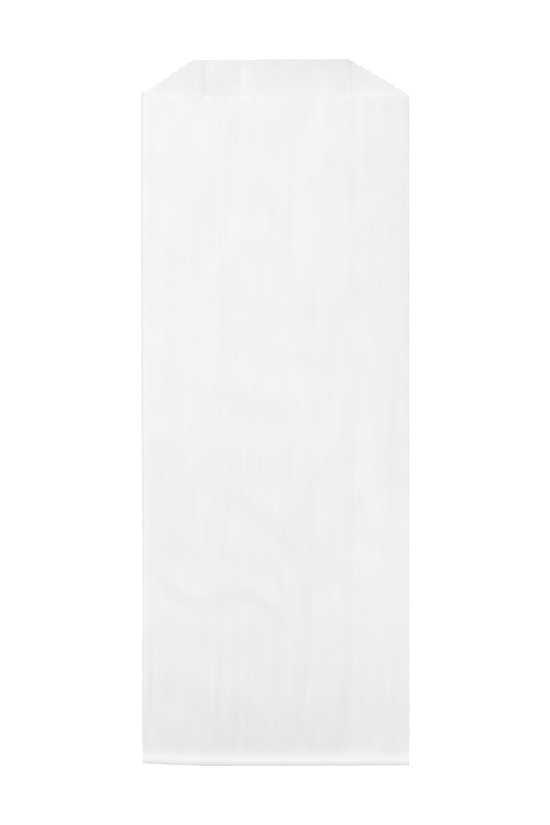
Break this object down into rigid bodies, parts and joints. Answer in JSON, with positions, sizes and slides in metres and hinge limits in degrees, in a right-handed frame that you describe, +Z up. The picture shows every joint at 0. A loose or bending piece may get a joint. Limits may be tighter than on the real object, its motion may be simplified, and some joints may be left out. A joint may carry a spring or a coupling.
{
  "type": "hot dog paper bag",
  "caption": "Flat white paper bag with side gussets, a folded bottom and a toothed mouth whose back stands past the front as a lip, lying empty on its back.",
  "frame": {"origin": "middle of the bag's outline, on the surface that it lies on", "axes": "+Y from the folded bottom to the mouth, +X to the right seen from the front panel, +Z up from the back panel to the front panel"},
  "size_m": [0.089, 0.2348, 0.0081],
  "materials": {
    "paper": "smooth white bag paper, matt with a faint machine glaze"
  },
  "bodies": {
    "root": {"paper_bag": "paper"}
  },
  "joints": []
}
